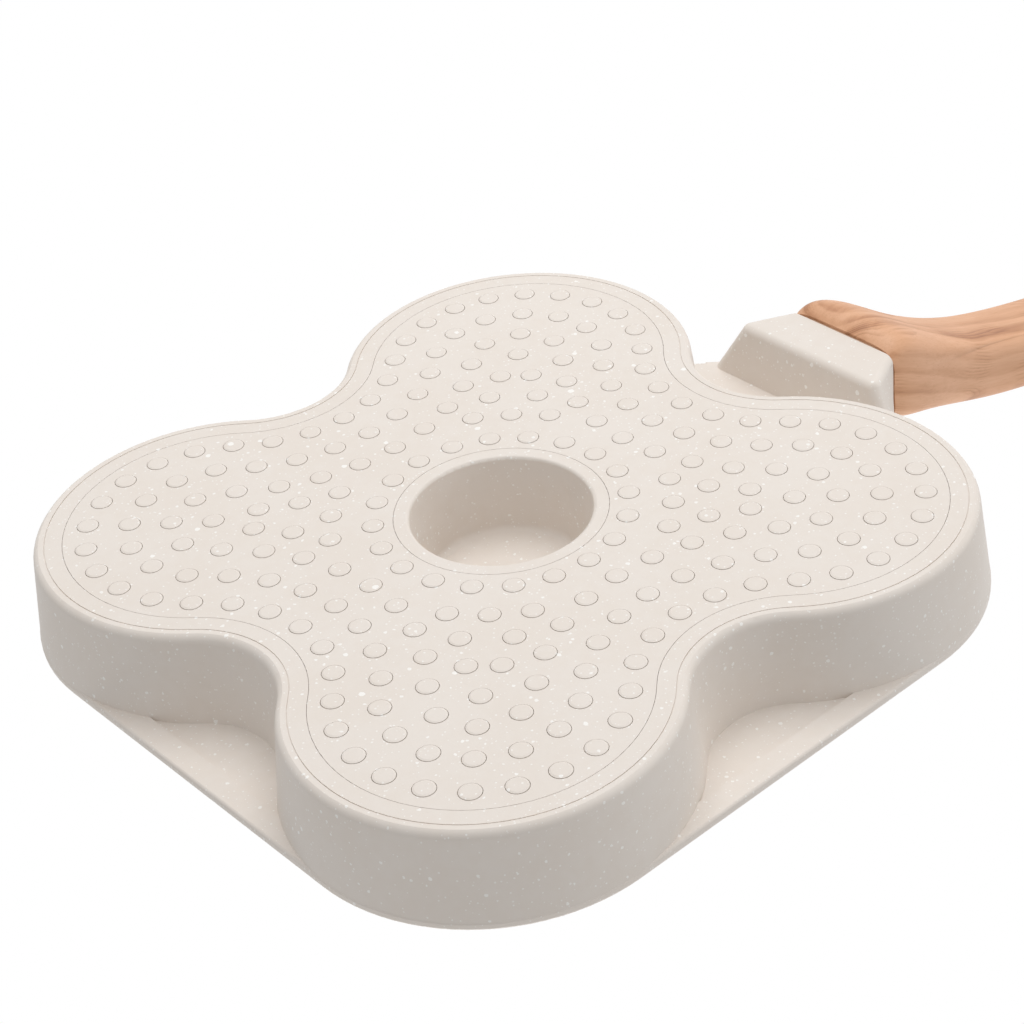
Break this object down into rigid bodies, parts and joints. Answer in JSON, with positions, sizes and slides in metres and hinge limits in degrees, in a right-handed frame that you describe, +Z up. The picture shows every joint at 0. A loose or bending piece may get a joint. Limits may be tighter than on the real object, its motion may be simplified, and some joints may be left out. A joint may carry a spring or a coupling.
{
  "type": "four-cup frying pan",
  "caption": "Square frying pan with round cups, a quatrefoil base with steel plate and pips, and a wood-finish handle bolted to a cast boss.",
  "frame": {"origin": "centre of the plane that the base rests on, under the middle of the four cups", "axes": "+Z up, cups open upwards; +X along the handle"},
  "size_m": [0.4548, 0.2468, 0.0827],
  "materials": {
    "stone_coat": "matte speckled stone-look non-stick coat",
    "base_plate": "steel under the same speckled coat",
    "wood": "satin oak",
    "gasket": "matte silicone",
    "steel": "satin steel"
  },
  "bodies": {
    "root": {"pan_body": "stone_coat", "induction_plate": "base_plate", "handle": "wood", "joint_gasket": "gasket", "threaded_insert": "steel", "handle_bolt": "steel", "flat_washer": "steel", "spring_washer": "steel", "hanging_loop": "steel"}
  },
  "joints": []
}
